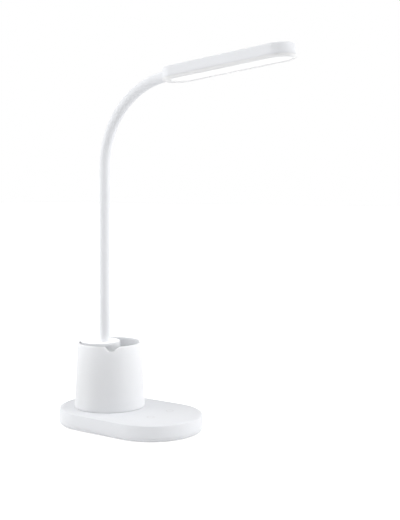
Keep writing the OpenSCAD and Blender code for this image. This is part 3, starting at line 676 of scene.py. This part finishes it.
def head_matrix():
    """From the head's own frame, with x from its middle to its tip and z up from its underside."""
    at, _ = neck_point(NECK_LEN)
    offset = Vector((HEAD_LEN / 2 - HEAD_OVER_NECK, 0, -HEAD_HT / 2))
    tilt = Matrix.Rotation(-HEAD_TILT, 4, "Y")
    return Matrix.Translation(at) @ tilt @ Matrix.Translation(offset)


def neck_cutter():
    """A round bar along the end of the neck, in the head's frame."""
    r = NECK_R + 0.1 * MM
    reach_out = 5 * MM
    reach_in = 7.4 * MM
    turns = turns_round(ROUND_SIDES)
    rear_x = -HEAD_LEN / 2
    rows = []
    for x in (rear_x - reach_out, rear_x + reach_in):
        rows.append([(x, r * math.cos(t), HEAD_HT / 2 + r * math.sin(t)) for t in turns])
    bm = bmesh.new()
    for ring in add_rows(bm, rows):
        bm.faces.new(ring)
    return finish_mesh("neck_cutter", bm)


def seat_head_piece(piece, nodes):
    """Moves a piece from the head's frame to its place, and says what it rides on and replaces."""
    piece.data.transform(head_matrix())
    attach(weigh_normals(piece), "head")
    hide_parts(*nodes)
    return piece


def make_head_cover():
    """The head's upper shell: drafted sides, a small round along the top and the neck's hole."""
    ceiling = HEAD_HT - HEAD_WALL
    ceiling_run = 6 * MM
    top_run = 4 * MM
    inner_r = HEAD_R - HEAD_WALL - HEAD_DRAFT
    flat_r = HEAD_R - HEAD_DRAFT - HEAD_TOP_ROUND
    round_z = HEAD_HT - HEAD_TOP_ROUND
    edge = EDGE / 3
    side_steps = 4
    profile = [(inner_r - ceiling_run, ceiling), (inner_r, ceiling)]
    profile += [(inner_r, HEAD_SEAM), (HEAD_R - edge, HEAD_SEAM)]
    profile += arc(HEAD_R - edge, HEAD_SEAM + edge, edge, -90, 0, steps=2)
    for i in range(1, side_steps):
        share = i / side_steps
        profile.append((HEAD_R - HEAD_DRAFT * share, HEAD_SEAM + (round_z - HEAD_SEAM) * share))
    profile += arc(flat_r, round_z, HEAD_TOP_ROUND, 0, 90, steps=8)
    profile += [(flat_r - top_run, HEAD_HT)]
    piece = racetrack_piece("head_cover_shell", HEAD_HALF, profile)
    cut(piece, neck_cutter())
    return seat_head_piece(piece, ["head_cover"])


def make_head_frame():
    """The frame round the lit window: its inner edge is shifted towards the tip."""
    edge = 0.25 * MM
    outer = arc(HEAD_R - HEAD_LOW_ROUND, HEAD_LOW_ROUND, HEAD_LOW_ROUND, 0, -90, steps=12)
    inner = arc(WINDOW_R + edge, edge, edge, -90, -180, steps=4)
    inner += [(WINDOW_R, WINDOW_Z), (WINDOW_LEDGE_R, WINDOW_Z), (WINDOW_LEDGE_R, HEAD_SEAM)]
    rows = [racetrack_ring(HEAD_HALF, r, z) for r, z in outer]
    for r, z in inner:
        ring = racetrack_ring(WINDOW_HALF, r, z)
        rows.append([(x + WINDOW_SHIFT, y, ring_z) for x, y, ring_z in ring])
    bm = bmesh.new()
    add_rows(bm, rows, loop=True)
    piece = finish_mesh("head_frame_shell", bm)
    cut(piece, neck_cutter())
    return seat_head_piece(piece, ["head_frame"])


def make_head_window():
    """The opal window in the frame's ledge, with its lower edge bevelled."""
    edge = 0.2 * MM
    gap = 0.1 * MM
    r = WINDOW_LEDGE_R - gap
    profile = [(r - edge, WINDOW_Z), (r, WINDOW_Z + edge), (r, WINDOW_Z + WINDOW_T)]
    piece = racetrack_piece("head_window", WINDOW_HALF, profile)
    piece.data.transform(Matrix.Translation((WINDOW_SHIFT, 0, 0)))
    return seat_head_piece(piece, ["head_diffuser"])


# ---------- Materials ----------

SHELL_WHITE = (0.853, 0.866, 0.895)
# Lighter than the shell's white: painted light, standing in for the window's light that spills into the head
# frame.
FRAME_WHITE_PAINTED_LIGHT = (0.94, 0.945, 0.955)
SLEEVE_WHITE = (0.885, 0.898, 0.924)
MARK_GREY = (0.76, 0.765, 0.785)
OPAL_WARM = (1.0, 1.0, 0.995)
OPAL_COOL = (0.985, 0.987, 1.0)
PAD_GREY = (0.45, 0.45, 0.46)
FOAM_BLACK = (0.04, 0.04, 0.042)
ZINC = (0.62, 0.63, 0.65)
ROLLED_STEEL = (0.50, 0.51, 0.52)
NICKEL = (0.72, 0.71, 0.69)
FOIL = (0.75, 0.76, 0.78)
MASK_GREEN = (0.02, 0.13, 0.05)
TRACK_GREEN = (0.04, 0.22, 0.09)
MASK_WHITE = (0.82, 0.82, 0.80)
TRACK_WHITE = (0.74, 0.74, 0.72)
CHIP_BLACK = (0.02, 0.02, 0.022)
JACKET_BLACK = (0.03, 0.03, 0.033)
PHOSPHOR = (0.85, 0.72, 0.30)

PLASTIC_SPECULAR = 0.15
SLEEVE_SHEEN = 0.08
TEXTURE_LOW = 0.3
TEXTURE_HIGH = 0.7

# How much finer a steel's grain is along x, y and z
EVEN_GRAIN = (1, 1, 1)
FINER_ALONG = (8, 1, 1)
FINER_UP = (1, 1, 8)


def darker(colour, share):
    """A colour with each part brought down to a share."""
    return tuple(c * share for c in colour)


def shader_of(material):
    """The surface shader that a new material starts with."""
    return material.node_tree.nodes["Principled BSDF"]


def new_material(name):
    """A material, its shader and the object coordinates that its textures use."""
    material = bpy.data.materials.new(name)
    material.use_nodes = True
    place = material.node_tree.nodes.new("ShaderNodeTexCoord").outputs["Object"]
    return material, shader_of(material), place


def noise(material, place, scale, detail=2.0, roughness=0.5):
    """A noise texture with about scale cells per metre."""
    texture = material.node_tree.nodes.new("ShaderNodeTexNoise")
    texture.inputs["Scale"].default_value = scale
    texture.inputs["Detail"].default_value = detail
    texture.inputs["Roughness"].default_value = roughness
    material.node_tree.links.new(place, texture.inputs["Vector"])
    return texture.outputs["Fac"]


def spread(material, value, low, high):
    """Maps a texture's value, from where most of it lies, to the range from low to high."""
    node = material.node_tree.nodes.new("ShaderNodeMapRange")
    node.inputs["From Min"].default_value = TEXTURE_LOW
    node.inputs["From Max"].default_value = TEXTURE_HIGH
    node.inputs["To Min"].default_value = low
    node.inputs["To Max"].default_value = high
    material.node_tree.links.new(value, node.inputs["Value"])
    return node.outputs["Result"]


def two_colours(material, value, first, second):
    """Mixes two colours by a texture's value."""
    node = material.node_tree.nodes.new("ShaderNodeMix")
    node.data_type = "RGBA"
    node.inputs["A"].default_value = (*first, 1)
    node.inputs["B"].default_value = (*second, 1)
    material.node_tree.links.new(value, node.inputs["Factor"])
    return node.outputs["Result"]


def bump(material, height, strength, distance):
    """Lets a texture's value raise and lower the surface."""
    node = material.node_tree.nodes.new("ShaderNodeBump")
    node.inputs["Strength"].default_value = strength
    node.inputs["Distance"].default_value = distance
    links = material.node_tree.links
    links.new(height, node.inputs["Height"])
    links.new(node.outputs["Normal"], shader_of(material).inputs["Normal"])


def moulded_plastic(name, colour, rough, grain, tint=0.02):
    """Moulded plastic with a fine grain, a slow change of gloss and a trace of colour change."""
    gloss_change = 0.04
    grain_depth = 0.12
    material, shader, place = new_material(name)
    links = material.node_tree.links
    slow = noise(material, place, scale=18, detail=3)
    mottled = two_colours(material, slow, colour, darker(colour, 1 - tint))
    links.new(mottled, shader.inputs["Base Color"])
    gloss = spread(material, slow, rough - gloss_change, rough + gloss_change)
    links.new(gloss, shader.inputs["Roughness"])
    shader.inputs["Specular IOR Level"].default_value = PLASTIC_SPECULAR
    fine = noise(material, place, scale=1 / grain, detail=3, roughness=0.6)
    bump(material, fine, strength=0.12, distance=grain * grain_depth)
    return material


def make_shell_material(name, colour, through, reach):
    """White plastic that lets some light through its wall."""
    material = moulded_plastic(name, colour, rough=0.42, grain=0.35 * MM)
    shader = shader_of(material)
    shader.inputs["Subsurface Weight"].default_value = through
    shader.inputs["Subsurface Radius"].default_value = (1, 1, 1)
    shader.inputs["Subsurface Scale"].default_value = reach
    return material


def make_sleeve_material():
    """Soft silicone with a coarser grain and a little sheen."""
    material = moulded_plastic("white_silicone_sleeve", SLEEVE_WHITE, rough=0.5, grain=0.8 * MM)
    shader_of(material).inputs["Sheen Weight"].default_value = SLEEVE_SHEEN
    return material


def make_glow_material(name, body, strength):
    """An opal window lit from behind, a little uneven over its LEDs."""
    material, shader, place = new_material(name)
    links = material.node_tree.links
    soft = noise(material, place, scale=60, detail=1)
    links.new(two_colours(material, soft, OPAL_WARM, OPAL_COOL), shader.inputs["Emission Color"])
    shader.inputs["Base Color"].default_value = (body, body, body, 1)
    shader.inputs["Emission Strength"].default_value = strength
    links.new(spread(material, soft, 0.3, 0.38), shader.inputs["Roughness"])
    fine = noise(material, place, scale=2500, detail=2)
    bump(material, fine, strength=0.08, distance=0.04 * MM)
    return material


def make_foam_material(name, colour):
    """Closed-cell foam: small round cells."""
    material, shader, place = new_material(name)
    links = material.node_tree.links
    cells = material.node_tree.nodes.new("ShaderNodeTexVoronoi")
    cells.inputs["Scale"].default_value = 1400
    links.new(place, cells.inputs["Vector"])
    from_middle = cells.outputs["Distance"]
    mix = spread(material, from_middle, 0, 1)
    shade = two_colours(material, mix, darker(colour, 0.75), colour)
    links.new(shade, shader.inputs["Base Color"])
    shader.inputs["Roughness"].default_value = 0.9
    bump(material, from_middle, strength=0.4, distance=0.2 * MM)
    return material


def make_steel_material(name, colour, rough, finer):
    """Plated or brushed steel. Its grain is squeezed along one axis, so it reads as fine lines."""
    gloss_change = 0.08
    material, shader, place = new_material(name)
    links = material.node_tree.links
    mapping = material.node_tree.nodes.new("ShaderNodeMapping")
    mapping.inputs["Scale"].default_value = finer
    links.new(place, mapping.inputs["Vector"])
    lines = noise(material, mapping.outputs["Vector"], scale=900, detail=4, roughness=0.6)
    lined = two_colours(material, lines, colour, darker(colour, 0.85))
    links.new(lined, shader.inputs["Base Color"])
    gloss = spread(material, lines, rough - gloss_change, rough + gloss_change)
    links.new(gloss, shader.inputs["Roughness"])
    shader.inputs["Metallic"].default_value = 1.0
    bump(material, lines, strength=0.15, distance=0.03 * MM)
    return material


def make_board_material(name, mask, track):
    """Solder mask over copper tracks: straight bands crossing at right angles."""
    material, shader, place = new_material(name)
    links = material.node_tree.links
    tracks = material.node_tree.nodes.new("ShaderNodeTexBrick")
    tracks.inputs["Scale"].default_value = 160
    tracks.inputs["Mortar Size"].default_value = 0.03
    tracks.inputs["Color1"].default_value = (*mask, 1)
    tracks.inputs["Color2"].default_value = (*darker(mask, 0.9), 1)
    tracks.inputs["Mortar"].default_value = (*track, 1)
    links.new(place, tracks.inputs["Vector"])
    links.new(tracks.outputs["Color"], shader.inputs["Base Color"])
    gloss = spread(material, noise(material, place, scale=120), 0.28, 0.4)
    links.new(gloss, shader.inputs["Roughness"])
    bump(material, tracks.outputs["Fac"], strength=0.2, distance=0.05 * MM)
    return material


def assign(material, *pieces):
    """Makes one material the only one of some pieces."""
    for piece in pieces:
        piece.data.materials.clear()
        piece.data.materials.append(material)


def paint_made(made):
    """Gives the pieces that are made here their materials."""
    shell = make_shell_material("satin_white_shell", SHELL_WHITE, through=0.4, reach=3 * MM)
    thin_wall = make_shell_material("thin_white_wall", SHELL_WHITE, through=0.9, reach=5 * MM)
    # The head frame gets a lighter copy of the shell's white: painted light from the window.
    frame_painted_light = make_shell_material("frame_white_painted_window_light", FRAME_WHITE_PAINTED_LIGHT, through=0.4, reach=3 * MM)
    mark = moulded_plastic("grey_mark_inlay", MARK_GREY, rough=0.45, grain=0.3 * MM)
    assign(shell, made["base_cover"], made["base_plate"], made["head_cover"])
    assign(thin_wall, made["cup"], made["column"])
    assign(frame_painted_light, made["head_frame"])
    assign(mark, made["touch"])
    assign(make_sleeve_material(), *made["neck"])
    assign(make_glow_material("night_glow", body=0.8, strength=0.4), made["night_window"])
    assign(make_glow_material("head_glow", body=0.4, strength=0.53), made["head_window"])
    assign(make_foam_material("grey_foam_pad", PAD_GREY), made["pad"])


def paint_packed(nodes):
    """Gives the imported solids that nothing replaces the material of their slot."""
    chip = moulded_plastic("black_chips", CHIP_BLACK, rough=0.45, grain=0.2 * MM, tint=0.2)
    phosphor = moulded_plastic("led_phosphor", PHOSPHOR, rough=0.4, grain=0.2 * MM, tint=0.1)
    jacket = moulded_plastic("wire_jacket", JACKET_BLACK, rough=0.5, grain=0.4 * MM, tint=0.2)
    weight = make_steel_material("rolled_steel_weight", ROLLED_STEEL, rough=0.5, finer=FINER_ALONG)
    by_slot = {
        "steel": make_steel_material("zinc_plated_steel", ZINC, rough=0.35, finer=FINER_UP),
        "inlet": make_steel_material("nickel_inlet", NICKEL, rough=0.25, finer=FINER_ALONG),
        "cell": make_steel_material("cell_foil", FOIL, rough=0.4, finer=EVEN_GRAIN),
        "board": make_board_material("green_board", MASK_GREEN, TRACK_GREEN),
        "board_white": make_board_material("white_led_board", MASK_WHITE, TRACK_WHITE),
        "parts": chip,
        "led": phosphor,
        "lead": jacket,
        "foam": make_foam_material("dark_foam", FOAM_BLACK),
    }
    slots = {s["node"]: s["material_slot"] for s in frame["record"]["subparts"]}
    for name, node in nodes.items():
        if not node.hide_render:
            assign(weight if name == "ballast_plate" else by_slot[slots[name]], node)


# ---------- Studio ----------

CAMERA_AT = Vector((715.5, -871.2, 290.5)) * MM
VIEW_WAY = Vector((-0.5721, 0.8202, 0))
CAMERA_TURN = math.degrees(math.atan2(-VIEW_WAY.y, -VIEW_WAY.x))
SENSOR_WIDTH = 36
LENS = 63.28
SHIFT_X = -0.0038
SHIFT_Y = -0.1376
CLIP_START = 0.01
CLIP_END = 50

# Soft panels of light far away, in degrees. A panel is turned from the camera's side, positive to
# its right, and stands at a rise. It is full up to the inner half angle and gone at the outer one.
PANELS = {
    "left": {"turn": -82, "rise": 15, "inner": 8, "outer": 46, "strength": 2.6},
    "left_back": {"turn": -120, "rise": 15, "inner": 8, "outer": 50, "strength": 0.15},
    "right": {"turn": 76, "rise": 15, "inner": 8, "outer": 46, "strength": 2.45},
    "right_back": {"turn": 110, "rise": 15, "inner": 8, "outer": 50, "strength": 0.5},
    "top": {"turn": 0, "rise": 90, "inner": 10, "outer": 60, "strength": 0.78},
}
AMBIENT = 0.15
WHITE_LIGHT = (1, 1, 1, 1)

FLOOR_COLOUR = (0.81, 0.81, 0.81)
FLOOR_LIFT = 0.52
FLOOR_HALF = 12.0


def make_camera():
    """The photo's camera, level and with its lens shifted."""
    data = bpy.data.cameras.new("camera")
    data.sensor_width = SENSOR_WIDTH
    data.lens = LENS
    data.shift_x = SHIFT_X
    data.shift_y = SHIFT_Y
    data.clip_start = CLIP_START
    data.clip_end = CLIP_END
    camera = bpy.data.objects.new("camera", data)
    camera.location = CAMERA_AT
    camera.rotation_euler = VIEW_WAY.to_track_quat("-Z", "Y").to_euler()
    bpy.context.scene.collection.objects.link(camera)
    bpy.context.scene.camera = camera


def combine(tree, operation, first, second):
    """The result of a maths node. Either value may be a number or the output of another node."""
    node = tree.nodes.new("ShaderNodeMath")
    node.operation = operation
    for socket, value in zip(node.inputs, (first, second)):
        if isinstance(value, bpy.types.NodeSocket):
            tree.links.new(value, socket)
        else:
            socket.default_value = value
    return node.outputs[0]


def seen_directly(tree):
    """One where a camera, glossy or transmission ray looks, and zero elsewhere."""
    rays = tree.nodes.new("ShaderNodeLightPath").outputs
    seen = combine(tree, "MAXIMUM", rays["Is Camera Ray"], rays["Is Glossy Ray"])
    return combine(tree, "MAXIMUM", seen, rays["Is Transmission Ray"])


def panel_light(tree, way, turn, rise, inner, outer, strength):
    """The light that comes from one panel, by the direction that a ray looks in."""
    a = math.radians(CAMERA_TURN + turn)
    e = math.radians(rise)
    middle = (math.cos(a) * math.cos(e), math.sin(a) * math.cos(e), math.sin(e))
    dot = tree.nodes.new("ShaderNodeVectorMath")
    dot.operation = "DOT_PRODUCT"
    dot.inputs[1].default_value = middle
    tree.links.new(way, dot.inputs[0])
    ramp = tree.nodes.new("ShaderNodeMapRange")
    ramp.interpolation_type = "SMOOTHSTEP"
    ramp.inputs["From Min"].default_value = math.cos(math.radians(outer))
    ramp.inputs["From Max"].default_value = math.cos(math.radians(inner))
    ramp.inputs["To Max"].default_value = strength
    tree.links.new(dot.outputs["Value"], ramp.inputs["Value"])
    return ramp.outputs["Result"]


def make_world():
    """Lights the lamp with the panels, and shows plain white where it is looked at directly."""
    world = bpy.data.worlds.new("studio")
    bpy.context.scene.world = world
    world.use_nodes = True
    tree = world.node_tree
    tree.nodes.clear()
    way = tree.nodes.new("ShaderNodeTexCoord").outputs["Generated"]
    total = AMBIENT
    for panel in PANELS.values():
        total = combine(tree, "ADD", total, panel_light(tree, way, **panel))
    soft = tree.nodes.new("ShaderNodeBackground")
    soft.inputs["Color"].default_value = WHITE_LIGHT
    tree.links.new(total, soft.inputs["Strength"])
    white = tree.nodes.new("ShaderNodeBackground")
    white.inputs["Color"].default_value = WHITE_LIGHT
    white.inputs["Strength"].default_value = 1
    mix = tree.nodes.new("ShaderNodeMixShader")
    out = tree.nodes.new("ShaderNodeOutputWorld")
    tree.links.new(seen_directly(tree), mix.inputs["Fac"])
    tree.links.new(soft.outputs[0], mix.inputs[1])
    tree.links.new(white.outputs[0], mix.inputs[2])
    tree.links.new(mix.outputs[0], out.inputs["Surface"])


def make_floor_material():
    """Matt and pale, with a lift towards white only where it is looked at directly."""
    material, shader, _ = new_material("pale_floor")
    tree = material.node_tree
    shader.inputs["Base Color"].default_value = (*FLOOR_COLOUR, 1)
    shader.inputs["Roughness"].default_value = 0.9
    shader.inputs["Specular IOR Level"].default_value = 0
    white = tree.nodes.new("ShaderNodeEmission")
    white.inputs["Color"].default_value = WHITE_LIGHT
    lift = combine(tree, "MULTIPLY", seen_directly(tree), FLOOR_LIFT)
    tree.links.new(lift, white.inputs["Strength"])
    add = tree.nodes.new("ShaderNodeAddShader")
    tree.links.new(shader.outputs[0], add.inputs[0])
    tree.links.new(white.outputs[0], add.inputs[1])
    tree.links.new(add.outputs[0], tree.nodes["Material Output"].inputs["Surface"])
    return material


def make_floor():
    """A wide pale floor that keeps the lamp's shadow."""
    corners = [(-1, -1), (1, -1), (1, 1), (-1, 1)]
    bm = bmesh.new()
    bm.faces.new([bm.verts.new((x * FLOOR_HALF, y * FLOOR_HALF, pad_low.z)) for x, y in corners])
    floor = finish_mesh("floor", bm)
    assign(make_floor_material(), floor)


bpy.context.scene.view_settings.view_transform = "Standard"
make_camera()
make_world()
make_floor()

made = {
    "base_cover": make_base_cover(),
    "base_plate": make_base_plate(),
    "pad": make_foot_pad(),
    "touch": make_touch_marks(),
    "cup": make_cup(),
    "column": make_column(),
    "night_window": make_night_window(),
    "neck": make_neck(),
    "head_cover": make_head_cover(),
    "head_frame": make_head_frame(),
    "head_window": make_head_window(),
}
paint_made(made)
paint_packed(frame["nodes"])
